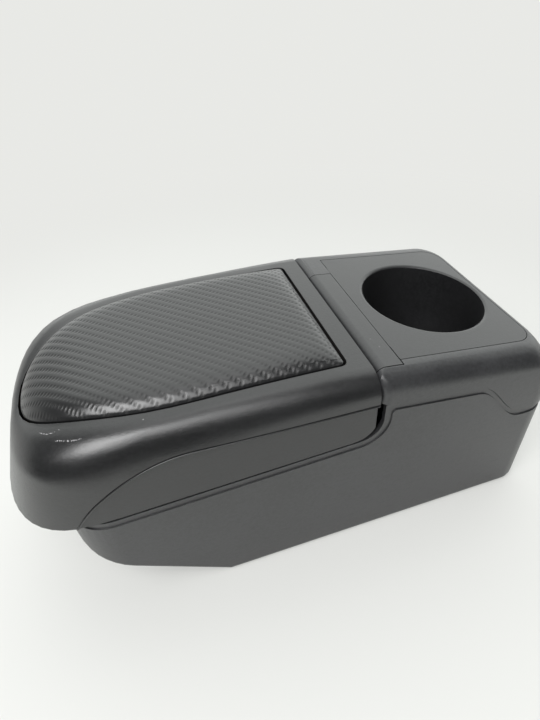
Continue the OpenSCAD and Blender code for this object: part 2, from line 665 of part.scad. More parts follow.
module lid_shell() color([0.16, 0.16, 0.165]) {
  difference() {
    union() {
      intersection() {
        difference() {
          lid_form();
          lid_form(lid_t, recess_h + lid_t, -10);
        }
        above_skirt();
      }
      intersection() {
        lid_form(lid_t, recess_h);
        union() for (x = lid_screw_x) for (s = [near, far])
          translate([x, s * lid_screw_y, 0]) post(boss_r, lid_low(x) + ceiling_top + 0.3, body_h);
      }
    }
    difference() {
      intersection() { above_skirt(bead_h); below_skirt(bead_h + bead_cut + 0.1); }
      lid_form(bead_cut, 0, -10);
    }
    skin([pad_ring(pad_gap, -recess_h), pad_ring(pad_gap, 12)]);
    for (x = pad_screw_x) for (s = [near, far])
      translate([x, s * pad_screw_y, lid_z(x) - recess_h - 8]) cylinder(r = hole_r + 2, h = 12, $fn = 40);
    for (x = lid_screw_x) for (s = [near, far]) translate([x, s * lid_screw_y, lid_low(x)])
      cylinder(r = pilot_r, h = ceiling_top + 14, $fn = 32);
  }
}

module lid_inner() color([0.17, 0.17, 0.17]) {
  difference() {
    union() {
      difference() {
        union() {
          intersection() { lid_form(panel_inset); below_skirt(-skirt_gap); }
          intersection() {
            lid_form(lid_t + fit, recess_h + lid_t + fit, -10);
            lid_band(0, body_h);
            union() {
              below_skirt(5);
              lid_band(0, ceiling_top);
            }
          }
        }
        difference() {
          lid_form(panel_in, recess_h + lid_t, -10);
          lid_band(ceiling_h, ceiling_top);
        }
        lid_corner_cut();
      }
      for (y = arm_y) across(y - arm_w / 2, y + arm_w / 2) {
        translate([axis_x, axis_z]) circle(r = knuckle_r, $fn = 48);
        translate([axis_x - arm_t / 2, axis_z - arm_drop]) square([arm_t, arm_drop]);
        translate([arm_root, axis_z - arm_drop - arm_t])
          square([axis_x + arm_t / 2 - arm_root, arm_t]);
      }
      intersection() {
        lid_form(panel_in - 0.5, recess_h + lid_t);
        union() {
          for (s = [near, far]) translate([bumper_x, s * bumper_y, 0])
            post(bumper_r + 1, rim_z(bumper_x) + bumper_h + fit, lid_low(bumper_x) + ceiling_top - 0.5);
        }
      }
    }
    for (y = arm_y) translate([axis_x, y, axis_z]) rotate([90, 0, 0])
      cylinder(r = pin_r + pin_clear, h = arm_w + 2, center = true, $fn = 48);
    for (x = lid_screw_x) for (s = [near, far]) translate([x, s * lid_screw_y, lid_low(x)])
      cylinder(r = hole_r, h = ceiling_top + 2, $fn = 32);
  }
}

module lid_pad() color([0.1, 0.1, 0.105]) {
  low = -recess_h + board_t + 2 * clear;
  skin([pad_ring(0, low), pad_ring(0, 0), pad_ring(-0.3, pad_proud * 0.5),
    pad_ring(-1.1, pad_proud * 0.85), pad_ring(-2.8, pad_proud), pad_ring(-3.9, pad_proud + 0.15)]);
}

module pad_board() color([0.35, 0.3, 0.24]) {
  difference() {
    union() {
      skin([pad_ring(-0.6, -recess_h + clear), pad_ring(-0.6, -recess_h + clear + board_t)]);
      for (x = pad_screw_x) for (s = [near, far]) translate([x, s * pad_screw_y, lid_z(x) - recess_h])
        translate([0, 0, -lid_t - 1.5]) cylinder(r = hole_r + 1.6, h = lid_t + 2.5, $fn = 40);
    }
    for (x = pad_screw_x) for (s = [near, far]) translate([x, s * pad_screw_y, lid_z(x) - recess_h])
      translate([0, 0, -lid_t - 3]) cylinder(r = pilot_r, h = lid_t + 4, $fn = 32);
  }
}

module hinge_pin(y) color([0.7, 0.7, 0.72]) {
  length = arm_w + 2 * lug_gap + 2 * lug_w;
  translate([axis_x, y, axis_z]) rotate([90, 0, 0]) cylinder(r = pin_r, h = length, center = true, $fn = 48);
}
module hinge_pin_near() hinge_pin(arm_y[0]);
module hinge_pin_far() hinge_pin(arm_y[1]);

module bumper(y) color([0.05, 0.05, 0.05]) {
  translate([bumper_x, y, rim_z(bumper_x)]) {
    cylinder(r = bumper_r, h = bumper_h, $fn = 40);
    translate([0, 0, -3.5]) cylinder(r = 1.5 - 0.05, h = 3.6, $fn = 32);
  }
}
module bumper_near() bumper(near * bumper_y);
module bumper_far() bumper(far * bumper_y);

module lid_screws() color([0.6, 0.6, 0.62])
  for (x = lid_screw_x) for (s = [near, far])
    translate([x, s * lid_screw_y, lid_low(x) + ceiling_h - 1]) screw(12);

module pad_screws() color([0.6, 0.6, 0.62])
  for (x = pad_screw_x) for (s = [near, far])
    translate([x, s * pad_screw_y, lid_z(x) - recess_h - lid_t - 1.6]) screw(5);

module housing_screws() color([0.6, 0.6, 0.62])
  for (i = [0, 1]) for (s = [near, far])
    translate([tail_screw_x[i], s * tail_screw_y[i], tail_base - 3]) screw(16);

module cover_screws() color([0.6, 0.6, 0.62])
  for (y = cover_screw_y) translate([flange_x0 + 2, y, cover_screw_z]) rotate([0, -90, 0]) screw(6);

module plate_screws() color([0.6, 0.6, 0.62])
  on_plate() for (u = plate_screw_u) for (s = [near, far])
    translate([u, s * plate_screw_y, -plate_t - housing_t - 4.1]) screw(8);

lower_tub();
rear_housing();
cup_plate();
hinge_cover();
lid_shell();
lid_inner();
lid_pad();
pad_board();
hinge_pin_near();
hinge_pin_far();
bumper_near();
bumper_far();
lid_screws();
pad_screws();
housing_screws();
cover_screws();
plate_screws();
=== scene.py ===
import math

import bmesh
import bpy
from mathutils import Matrix, Vector
from mathutils.bvhtree import BVHTree
from mathutils.geometry import delaunay_2d_cdt
from mathutils.kdtree import KDTree


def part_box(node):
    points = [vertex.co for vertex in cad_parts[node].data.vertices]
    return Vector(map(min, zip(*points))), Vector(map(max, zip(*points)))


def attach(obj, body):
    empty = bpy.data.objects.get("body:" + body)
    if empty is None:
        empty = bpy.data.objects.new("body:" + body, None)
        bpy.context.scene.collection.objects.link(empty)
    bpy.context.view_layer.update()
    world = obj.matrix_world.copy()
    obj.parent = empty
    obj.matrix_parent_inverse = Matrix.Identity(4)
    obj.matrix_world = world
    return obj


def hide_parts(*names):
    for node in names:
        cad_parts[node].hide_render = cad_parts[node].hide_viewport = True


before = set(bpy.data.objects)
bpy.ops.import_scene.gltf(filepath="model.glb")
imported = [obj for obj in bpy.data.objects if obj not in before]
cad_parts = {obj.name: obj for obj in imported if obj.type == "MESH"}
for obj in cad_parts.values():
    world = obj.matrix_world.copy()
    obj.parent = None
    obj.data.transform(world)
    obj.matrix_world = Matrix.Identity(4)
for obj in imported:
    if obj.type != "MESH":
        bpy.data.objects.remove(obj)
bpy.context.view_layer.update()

bl_info = {
    "name": "Car Centre Armrest",
    "version": (1, 0, 0),
    "blender": (4, 5, 0),
    "location": "View3D > Sidebar > Armrest",
    "description": "Dresses a car centre armrest box with its pad, plastics and studio stage",
    "category": "Object",
}

MM = 0.001
PLATE_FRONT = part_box("cup_plate")[0].x

# The pad's place, read from its solid, in mm
PAD_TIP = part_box("lid_pad")[0].x / MM
PAD_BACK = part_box("lid_pad")[1].x / MM
PAD_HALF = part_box("lid_pad")[1].y / MM

# The pad's outline: length and power of its rounded nose, and radius of its rear corners, in mm
PAD_NOSE = 96
PAD_POWER = 2.25
PAD_CORNER = 4

# The pad's side wall: its foot and its upper edge, against the lid's top line, in mm
PAD_FOOT = -3.8
PAD_SIDE_TOP = -0.9

# The pad's rolled edge: how far in it reaches, how much it rises and where it starts, in mm
ROLL_REACH = 1.3
ROLL_RISE = 0.9
ROLL_START = -0.6

# The sloping top behind the lid: a point that it passes through in side view, in mm, and its fall
TOP_X = 57
TOP_Z = 135
TOP_FALL = math.radians(7.8)

# The lid's top line in side view, as in the part's source: a long arch that drops to the nose, in mm
LID_REAR = PAD_BACK + 12
NOSE_TO_PAD = 17
NOSE_X = PAD_TIP - NOSE_TO_PAD
ARCH_REACH = 94
ARCH_X = LID_REAR - ARCH_REACH
ARCH_R = 1480
ARCH_Z = TOP_Z + (TOP_X - LID_REAR) * math.tan(TOP_FALL) + ARCH_REACH ** 2 / (2 * ARCH_R)
DROP_START = 73
DROP_DEPTH = 14.4
DROP_POWER = 2.7

# The cup: its place along the box, and the band round its lip, out from its axis and down, in mm
CUP_X = 106
LIP_INNER = 30
LIP_OUTER = 41
LIP_LOW = -3.2

# The embossed twill: waves per mm across its ridges and along them
RIDGE = (0.1409, 0.1497)
DOT = (0.2991, -0.2755)

# Edges that turn by more than this are softened, and stay creases where they aren't
CREASE = math.radians(28)

# Noise in the mouldings, in specks to the metre: spark grain, its clusters, and broad unevenness
GRAIN = 1300
CLUSTER = 560
CLOUD = 16

# The gloss that the plastics and the vinyl share
GLOSS = {"IOR": 1.58, "Specular IOR Level": 0.64}

# Numbers of the colour sockets on a Mix node: first colour, second colour and result
MIX_FIRST = 6
MIX_SECOND = 7
MIX_RESULT = 2


class Sock:
    """A shader socket. Arithmetic on it adds Math nodes, or Vector Math nodes on a vector."""

    def __init__(self, tree, socket):
        self.tree = tree
        self.socket = socket

    def node(self, kind, settings=None, inputs=None, out=0):
        """Adds any other node: its settings first, then the values or links of its sockets."""
        made = self.tree.nodes.new(kind)
        for key, value in (settings or {}).items():
            setattr(made, key, value)
        for key, value in (inputs or {}).items():
            if isinstance(value, Sock):
                self.tree.links.new(value.socket, made.inputs[key])
            else:
                made.inputs[key].default_value = value
        return Sock(self.tree, made.outputs[out])

    def maths(self, operation, *values):
        """Adds a Math node, or a Vector Math node where this socket is a vector."""
        if self.socket.type == "VECTOR":
            kind = "ShaderNodeVectorMath"
            values = [v if isinstance(v, (Sock, tuple)) else (v,) * 3 for v in values]
        else:
            kind = "ShaderNodeMath"
        return self.node(kind, {"operation": operation}, dict(enumerate(values)))

    def measure(self, operation, *vectors):
        """A number from vectors, such as their dot product or distance."""
        inputs = dict(enumerate(vectors))
        return self.node("ShaderNodeVectorMath", {"operation": operation}, inputs, "Value")

    def __add__(self, other):
        return self.maths("ADD", self, other)

    def __radd__(self, other):
        return self.maths("ADD", other, self)

    def __sub__(self, other):
        return self.maths("SUBTRACT", self, other)

    def __rsub__(self, other):
        return self.maths("SUBTRACT", other, self)

    def __mul__(self, other):
        return self.maths("MULTIPLY", self, other)

    def __rmul__(self, other):
        return self.maths("MULTIPLY", other, self)

    def __pow__(self, other):
        return self.maths("POWER", self, other)

    def between(self, low, high):
        """0 below low, 1 above high, smooth in between."""
        return self.node(
            "ShaderNodeMapRange",
            {"interpolation_type": "SMOOTHSTEP"},
            {"Value": self, "From Min": low, "From Max": high},
        )

    def part(self, axis):
        """One coordinate of a vector: 0, 1 or 2 for x, y or z."""
        return self.node("ShaderNodeSeparateXYZ", None, {0: self}, axis)

    def wave(self):
        """A cosine wave of this many turns, from 0 to 1."""
        return self.maths("COSINE", self * (2 * math.pi)) * 0.5 + 0.5

    def blend(self, low, high):
        """Colour that goes from low to high as this value goes from 0 to 1."""
        inputs = {0: self, MIX_FIRST: low, MIX_SECOND: high}
        return self.node("ShaderNodeMix", {"data_type": "RGBA"}, inputs, MIX_RESULT)


def new_material(name):
    """An empty material, its Principled shader, a node maker and the object's own coordinates."""
    material = bpy.data.materials.new(name)
    material.use_nodes = True
    tree = material.node_tree
    tree.nodes.clear()
    root = Sock(tree, None)
    shader = tree.nodes.new("ShaderNodeBsdfPrincipled")
    output = tree.nodes.new("ShaderNodeOutputMaterial")
    tree.links.new(shader.outputs[0], output.inputs[0])
    place = root.node("ShaderNodeTexCoord", out="Object")
    return material, shader, root, place


def feed(shader, values):
    """Sets or links the shader's sockets by name."""
    for key, value in values.items():
        if isinstance(value, Sock):
            value.tree.links.new(value.socket, shader.inputs[key])
        else:
            shader.inputs[key].default_value = value


def grey(value, warmth=0.0):
    """A grey of this level, a little cool unless it is warmed."""
    return (value * (0.985 + warmth), value, value * (1.06 - warmth), 1)


def noise(root, place, scale, detail=2.0, rough=0.5):
    """Noise from 0 to 1, with this many specks in a metre."""
    return root.node(
        "ShaderNodeTexNoise",
        None,
        {"Vector": place, "Scale": scale, "Detail": detail, "Roughness": rough},
    )


def bumps(root, strength, distance, height):
    """A Bump node for fine relief, with its distance in metres."""
    return root.node("ShaderNodeBump", None, {"Strength": strength, "Distance": distance, "Height": height})


def near_line(place, start, end, reach):
    """1 on the line from start to end, in mm, fading to 0 at this reach from it."""
    a = Vector(start) * MM
    b = Vector(end) * MM
    way = tuple((b - a).normalized())
    rel = place - tuple(a)
    along = rel.measure("DOT_PRODUCT", rel, way)
    held = along.maths("MINIMUM", along.maths("MAXIMUM", along, 0.0), (b - a).length)
    foot = held.node("ShaderNodeVectorMath", {"operation": "SCALE"}, {0: way, "Scale": held})
    off = rel.measure("DISTANCE", rel, foot)
    return 1 - off.between(reach * MM * 0.3, reach * MM)


def plastic(name, colour, rough, grain, scuffs=(), bare=0.4):
    """Moulded plastic with a fine spark-eroded grain, faint handling marks and a few scuffs."""
    material, shader, root, place = new_material(name)
    fine = noise(root, place, GRAIN, 2.0, 0.6)
    coarse = noise(root, place, CLUSTER, 2.0, 0.6)
    broad = noise(root, place, CLOUD, 4.0, 0.6)
    rubbed = noise(root, place * (1.0, 6.0, 6.0), 70, 3.0, 0.6).between(0.56, 0.74)
    tone = broad * 0.5 + coarse * 0.5
    base = tone.between(0.35, 0.65).blend(grey(colour * 0.72), grey(colour * 1.3))
    shine = broad * 0.16 + coarse * 0.08 + (rough - 0.12) + rubbed * 0.05
    if scuffs:
        hit = near_line(place, *scuffs[0])
        for scuff in scuffs[1:]:
            hit = hit.maths("MAXIMUM", hit, near_line(place, *scuff))
        worn = hit * fine.between(0.48, 0.6)
        base = worn.blend(base, grey(bare, 0.04))
        shine = shine + worn * 0.2
    bump = bumps(root, grain, 0.00025, fine * 0.5 + coarse * 0.5)
    feed(shader, {"Base Color": base, "Roughness": shine, "Normal": bump, **GLOSS})
    return material


def vinyl(name, colour):
    """Soft vinyl with an embossed twill: duller dots between glossier ridges, with painted shade that
    darkens the dots' hollows.
    """
    material, shader, root, place = new_material(name)
    across = place.part(0)
    along = place.part(1)
    ridge = (across * (RIDGE[0] / MM) + along * (RIDGE[1] / MM)).wave()
    dots = (across * (DOT[0] / MM) + along * (DOT[1] / MM)).wave()
    hollow = (ridge ** 1.5) * dots
    fine = noise(root, place, 2 * GRAIN, 2.0, 0.6)
    broad = noise(root, place, CLOUD)
    # Painted shade: the colour runs from a lighter tone on the ridges to a much darker one in the hollows,
    # for the shade that falls in them
    base = (hollow * 0.8 + broad * 0.2).blend(grey(colour * 1.15), grey(colour * 0.45))
    rough = hollow * 0.18 + broad * 0.1 + 0.25
    bump = bumps(root, 0.35, 0.0002, fine * 0.35 + hollow * -0.65)
    feed(shader, {"Base Color": base, "Roughness": rough, "Normal": bump, **GLOSS})
    return material


def steel(name):
    """Zinc-plated steel with fine turning marks."""
    material, shader, root, place = new_material(name)
    fine = noise(root, place * (1.0, 1.0, 9.0), 1800)
    stain = noise(root, place, 160)
    base = stain.between(0.35, 0.7).blend((0.62, 0.62, 0.6, 1), (0.5, 0.5, 0.52, 1))
    bump = bumps(root, 0.3, 0.00005, fine)
    feed(shader, {"Base Color": base, "Metallic": 1.0, "Roughness": fine * 0.2 + 0.22, "Normal": bump})
    return material


def rubber(name):
    """Matt black rubber with a chalky bloom."""
    material, shader, root, place = new_material(name)
    bloom = noise(root, place, 500, 3.0)
    base = bloom.between(0.3, 0.8).blend(grey(0.012), grey(0.03))
    bump = bumps(root, 0.3, 0.0001, bloom)
    feed(shader, {"Base Color": base, "Roughness": bloom * 0.2 + 0.65, "Normal": bump})
    return material


def hardboard(name):
    """Pressed fibre board: short pale and dark fibres in a brown ground."""
    material, shader, root, place = new_material(name)
    fibre = noise(root, place * (1.0, 5.0, 1.0), 700, 3.0, 0.7)
    speck = noise(root, place, 1500, 1.0)
    ground = (fibre * 0.7 + speck * 0.3).between(0.3, 0.7)
    base = ground.blend((0.07, 0.045, 0.025, 1), (0.22, 0.15, 0.09, 1))
    bump = bumps(root, 0.5, 0.0002, fibre)
    feed(shader, {"Base Color": base, "Roughness": speck * 0.1 + 0.75, "Normal": bump})
    return material


def set_material(obj, material):
    """Gives an object this one material."""
    obj.data.materials.clear()
    obj.data.materials.append(material)


def link_piece(name, mesh, material, node, body):
    """Puts a mesh in the scene in place of a CAD node, riding on its body."""
    piece = bpy.data.objects.new(name, mesh)
    bpy.context.scene.collection.objects.link(piece)
    set_material(piece, material)
    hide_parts(node)
    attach(piece, body)
    return piece


def outward(mesh):
    """Turns the faces of a closed mesh outward."""
    shape = bmesh.new()
    shape.from_mesh(mesh)
    bmesh.ops.recalc_face_normals(shape, faces=shape.faces)
    shape.to_mesh(mesh)
    shape.free()


def soften(shape, edges, radius, segments):
    """Rounds these edges of a bmesh, with the radius in mm."""
    bmesh.ops.bevel(
        shape, geom=edges, offset=radius * MM, offset_type="OFFSET", segments=segments, profile=0.5,
        affect="EDGES", clamp_overlap=True, harden_normals=False)


def smooth_copy(node, body, material, edge=0.35, trim=None, rounder=None, radius=0.9):
    """Stands for a CAD node: the same solid with softened edges and smooth faces between them.

    All in mm: edge is the usual radius, trim(place) moves a point of the copy a little, and
    rounder(middle) picks the edges that get the larger radius.
    """
    name = node + "_moulding"
    mesh = bpy.data.meshes.new(name)
    shape = bmesh.new()
    shape.from_mesh(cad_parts[node].data)
    bmesh.ops.remove_doubles(shape, verts=shape.verts, dist=2e-6)
    if trim:
        for vert in shape.verts:
            vert.co = trim(vert.co / MM) * MM
    bmesh.ops.dissolve_limit(
        shape, angle_limit=math.radians(0.15), verts=shape.verts, edges=shape.edges)
    sharp = [e for e in shape.edges if len(e.link_faces) == 2 and e.calc_face_angle(0) > CREASE]
    if rounder:
        picked = [e for e in sharp if rounder((e.verts[0].co + e.verts[1].co) / 2 / MM)]
        taken = set(picked)
        sharp = [e for e in sharp if e not in taken]
        soften(shape, picked, radius, 4)
        sharp = [e for e in sharp if e.is_valid]
    soften(shape, sharp, edge, 2)
    shape.to_mesh(mesh)
    shape.free()
    mesh.shade_smooth()
    mesh.set_sharp_from_angle(angle=CREASE)
    piece = link_piece(name, mesh, material, node, body)
    flats = piece.modifiers.new("flat_faces", "WEIGHTED_NORMAL")
    flats.mode = "FACE_AREA"
    flats.keep_sharp = True
    return piece


def lid_z(x):
    """Height of the lid's top at this length, in mm."""
    drop = max(0.0, (NOSE_X + DROP_START - x) / (DROP_START - NOSE_TO_PAD))
    return ARCH_Z - (x - ARCH_X) ** 2 / (2 * ARCH_R) - DROP_DEPTH * drop ** DROP_POWER


def pad_outline(count):
    """Evenly spaced points round the pad, in mm, with the outward direction at each."""
    corner_steps = 24
    nose_steps = 400
    half = []
    for i in range(corner_steps + 1):
        a = math.radians(90 * i / corner_steps)
        half.append((PAD_BACK - PAD_CORNER + PAD_CORNER * math.cos(a),
                     -(PAD_HALF - PAD_CORNER) - PAD_CORNER * math.sin(a)))
    start = PAD_TIP + PAD_NOSE
    for i in range(1, nose_steps + 1):
        a = math.radians(90 * i / nose_steps)
        half.append((start + (PAD_TIP - start) * math.sin(a) ** (2 / PAD_POWER),
                     -PAD_HALF * math.cos(a) ** (2 / PAD_POWER) if i < nose_steps else 0.0))
    line = half + [(x, -y) for x, y in reversed(half[:-1])]
    line.append(line[0])
    steps = [0.0]
    for a, b in zip(line, line[1:]):
        steps.append(steps[-1] + math.dist(a, b))
    ring = []
    k = 0
    for i in range(count):
        want = steps[-1] * i / count
        while steps[k + 1] < want:
            k += 1
        t = (want - steps[k]) / (steps[k + 1] - steps[k])
        ring.append(Vector((line[k][0] + (line[k + 1][0] - line[k][0]) * t,
                            line[k][1] + (line[k + 1][1] - line[k][1]) * t)))
    out = []
    for i in range(count):
        way = ring[(i + 1) % count] - ring[i - 1]
        out.append(Vector((way.y, -way.x)).normalized() * -1)
    return ring, out


def pad_roll(inset):
    """Height of the pad's rolled edge over the lid at this distance in from its outline, in mm."""
    t = min(1.0, inset / ROLL_REACH)
    return ROLL_RISE * math.sqrt(1 - (1 - t) ** 2) + ROLL_START


def emboss(x, y, depth):
    """How far the twill lies below its ridges at this point, in mm."""
    ridge = 0.5 + 0.5 * math.cos(2 * math.pi * (RIDGE[0] * x + RIDGE[1] * y))
    dots = 0.5 + 0.5 * math.cos(2 * math.pi * (DOT[0] * x + DOT[1] * y))
    return depth * ridge ** 2 * dots ** 1.6 + 0.15 * depth * ridge


def plan_tree(points):
    """A tree that finds the nearest of these points in plan."""
    tree = KDTree(len(points))
    for i, p in enumerate(points):
        tree.insert((p.x, p.y, 0), i)
    tree.balance()
    return tree


def ring_faces(first, count):
    """The quads between a ring of points that starts at first and the next ring of as many points."""
    return [
        (first + i, first + (i + 1) % count, first + count + (i + 1) % count, first + count + i)
        for i in range(count)
    ]


def fill_ring(edge, inside):
    """Triangles within the ring of edge points, through the inside points too."""
    count = len(edge)
    rim = [(i, (i + 1) % count) for i in range(count)]
    return delaunay_2d_cdt(edge + inside, rim, [], 1, 1e-7, True)


class ArmrestSettings(bpy.types.PropertyGroup):
    """Finishes and small sizes of the armrest"""

    crown: bpy.props.FloatProperty(
        name="Pad crown", description="Height of the pad's middle over its edge",
        default=5.0 * MM, min=0, max=0.01, unit="LENGTH")
    twill: bpy.props.FloatProperty(
        name="Twill depth", description="Depth of the embossed hollows below the ridges",
        default=0.24 * MM, min=0, max=0.001, unit="LENGTH")
    bead: bpy.props.FloatProperty(
        name="Bead radius", description="Radius of the round bead along the lid's side",
        default=0.52 * MM, min=0.0002, max=0.002, unit="LENGTH")
    shell: bpy.props.FloatProperty(
        name="Shell tone", description="Grey level of the moulded shells",
        default=0.011, min=0, max=1, subtype="FACTOR")
    plate: bpy.props.FloatProperty(
        name="Plate tone", description="Grey level of the cup plate and strip",
        default=0.016, min=0, max=1, subtype="FACTOR")
    vinyl: bpy.props.FloatProperty(
        name="Vinyl tone", description="Grey level of the pad's vinyl",
        default=0.011, min=0, max=1, subtype="FACTOR")


class ARMREST_OT_base(bpy.types.Operator):
    """Make the lower tub and the rear housing"""

    bl_idname = "armrest.base"
    bl_label = "Tub and rear housing"

    def execute(self, context):
        shell = plastic("tub_plastic", context.scene.armrest.shell * 2.6, rough=0.38, grain=0.3)
        smooth_copy("lower_tub", "base", shell)
        smooth_copy("rear_housing", "base", shell, edge=0.25)
        return {"FINISHED"}


class ARMREST_OT_plates(bpy.types.Operator):
    """Make the cup plate with its well, and the hinge cover strip"""

    bl_idname = "armrest.plates"
    bl_label = "Cup plate and hinge cover"

    # Handling marks on the strip: start and end of each, and its reach, in mm
    marks = (
        ((49.4, -36.4, 136.0), (50.6, -38.2, 136.0), 0.8),
        ((51.0, -43.6, 135.8), (51.8, -45.4, 135.8), 0.7),
    )

    # For a seam round the plate that can be seen: the scale of its length and width, and its shift
    # along the box in mm
    seam_scale = (0.9985, 0.9965)
    seam_shift = 0.17

    # How far the cup's lip is opened, and what is left of the height of its rounding
    lip_open = 1.038
    lip_height = 0.75

    def execute(self, context):
        tone = context.scene.armrest.plate
        plate = plastic("plate_plastic", tone, rough=0.38, grain=0.22)
        smooth_copy("cup_plate", "base", plate, edge=0.2, trim=self.cup_rim)
        strip = plastic("strip_plastic", tone, rough=0.36, grain=0.22, scuffs=self.marks, bare=0.12)
        smooth_copy("hinge_cover", "base", strip, edge=0.2)
        return {"FINISHED"}

    def cup_rim(self, place):
        """Opens the cup hole a little, makes its rounding shallower and frees the plate's outer seam."""
        middle = Vector((CUP_X, 0, TOP_Z - (CUP_X - TOP_X) * math.tan(TOP_FALL)))
        up = Vector((math.sin(TOP_FALL), 0, math.cos(TOP_FALL)))
        rel = place - middle
        height = rel.dot(up)
        flat = rel - up * height
        reach = flat.length
        if reach > LIP_OUTER or height < LIP_LOW or reach < LIP_INNER:
            along, across = self.seam_scale
            return Vector((place.x * along + self.seam_shift, place.y * across, place.z))
        return middle + flat * self.lip_open + up * height * self.lip_height


class ARMREST_OT_lid(bpy.types.Operator):
    """Make the upper lid shell and the lower lid panel"""

    bl_idname = "armrest.lid"
    bl_label = "Lid"

    # Scuffs on the nose: start and end of each, and its reach, in mm
    marks = (
        ((-133.3, -39.3, 132.4), (-129.3, -43.5, 134.1), 0.45),
        ((-129.3, -43.5, 134.1), (-125.6, -44.9, 135.3), 0.6),
        ((-125.6, -44.9, 135.3), (-122.0, -44.6, 136.0), 0.45),
        ((-124.5, -50.9, 135.3), (-119.2, -53.8, 136.6), 0.6),
        ((-119.2, -53.8, 136.6), (-115.9, -55.4, 137.0), 0.7),
        ((-115.9, -55.4, 137.0), (-112.1, -56.0, 137.5), 0.5),
        ((-82.2, -56.9, 140.1), (-81.9, -56.9, 140.1), 0.6),
    )

    # How far an edge of the recess may lie from the lid's top line, and past the pad's ends and
    # sides, in mm
    off_top = 0.5
    past_ends = 3
    past_sides = 2

    def execute(self, context):
        tone = context.scene.armrest.shell
        shell = plastic("lid_plastic", tone, rough=0.31, grain=0.4, scuffs=self.marks)
        smooth_copy("lid_shell", "lid", shell, edge=0.25, rounder=self.recess_lip)
        panel = plastic("panel_plastic", tone, rough=0.37, grain=0.3)
        smooth_copy("lid_inner", "lid", panel, edge=0.25)
        return {"FINISHED"}

    def recess_lip(self, middle):
        """Whether an edge with this middle belongs to the top edge of the pad's recess."""
        on_top = abs(middle.z - lid_z(middle.x)) < self.off_top
        in_length = PAD_TIP - self.past_ends < middle.x < PAD_BACK + self.past_ends
        return on_top and in_length and abs(middle.y) < PAD_HALF + self.past_sides


class ARMREST_OT_bead(bpy.types.Operator):
    """Make the fine round bead along the upper lid shell's lower edge"""

    bl_idname = "armrest.bead"
    bl_label = "Lid bead"

    # How many sides the round bar has, and how far its middle stands proud of the shell, in mm
    sides = 12
    proud = 0.12

    # How far beside the middle of the lid the search for its wall starts, in metres
    beside = 0.12

    # The bead's line in side view, in mm: depth under the lid's rear top edge, gap from its rear end,
    # and where and how tightly it turns down, measured from the nose
    below_top = 18
    rear_gap = 0.4
    turn_start = 103
    turn_radius = 75
    level_steps = 90
    turn_steps = 120

    def execute(self, context):
        tone = context.scene.armrest.shell
        # Painted highlight: the bead is the shell's plastic painted 15% lighter, so that it reads as a
        # light line
        material = plastic("bead_plastic", tone * 1.15, rough=0.36, grain=0.15)
        shell = bmesh.new()
        shell.from_mesh(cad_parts["lid_shell"].data)
        wall = BVHTree.FromBMesh(shell)
        for side, name in ((-1, "lid_bead_near"), (1, "lid_bead_far")):
            path = []
            for x, z in self.line():
                start = Vector((x * MM, side * self.beside, z * MM))
                place = wall.ray_cast(start, Vector((0, -side, 0)), self.beside)[0]
                if place is not None:
                    path.append(Vector((place.x, place.y + side * self.proud * MM, place.z)))
            mesh = self.tube(name, path, context.scene.armrest.bead)
            piece = bpy.data.objects.new(name, mesh)
            context.scene.collection.objects.link(piece)
            set_material(piece, material)
            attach(piece, "lid")
        shell.free()
        return {"FINISHED"}

    def line(self):
        """The middle of the bead in side view, in mm: level first, then turning down to the nose."""
        rise = math.radians(2.4)
        fall = math.radians(58)
        back = LID_REAR - self.rear_gap
        start = NOSE_X + self.turn_start
        level = TOP_Z + (TOP_X - LID_REAR) * math.tan(TOP_FALL) - self.below_top
        height = level + (LID_REAR - start) * math.tan(rise)
        points = []
        for i in range(self.level_steps):
            x = back + (start - back) * i / self.level_steps
            points.append((x, level + (LID_REAR - x) * math.tan(rise)))
        for i in range(self.turn_steps + 1):
            a = rise - (rise + fall) * i / self.turn_steps
            points.append((start + self.turn_radius * (math.sin(a) - math.sin(rise)),
                           height + self.turn_radius * (math.cos(a) - math.cos(rise))))
        return points

    def tube(self, name, path, radius):
        """A round bar along the path, closed at both ends."""
        verts = []
        faces = []
        count = self.sides
        for i, p in enumerate(path):
            way = (path[min(i + 1, len(path) - 1)] - path[max(i - 1, 0)]).normalized()
            across = way.cross(Vector((0, 1, 0))).normalized()
            lift = across.cross(way).normalized()
            for k in range(count):
                a = 2 * math.pi * k / count
                verts.append(p + (across * math.cos(a) + lift * math.sin(a)) * radius)
        for i in range(len(path) - 1):
            faces += ring_faces(i * count, count)
        faces.append(tuple(range(count)))
        faces.append(tuple(reversed(range(len(verts) - count, len(verts)))))
        mesh = bpy.data.meshes.new(name)
        mesh.from_pydata(verts, [], faces)
        outward(mesh)
        mesh.shade_smooth()
        mesh.set_sharp_from_angle(angle=math.radians(60))
        return mesh


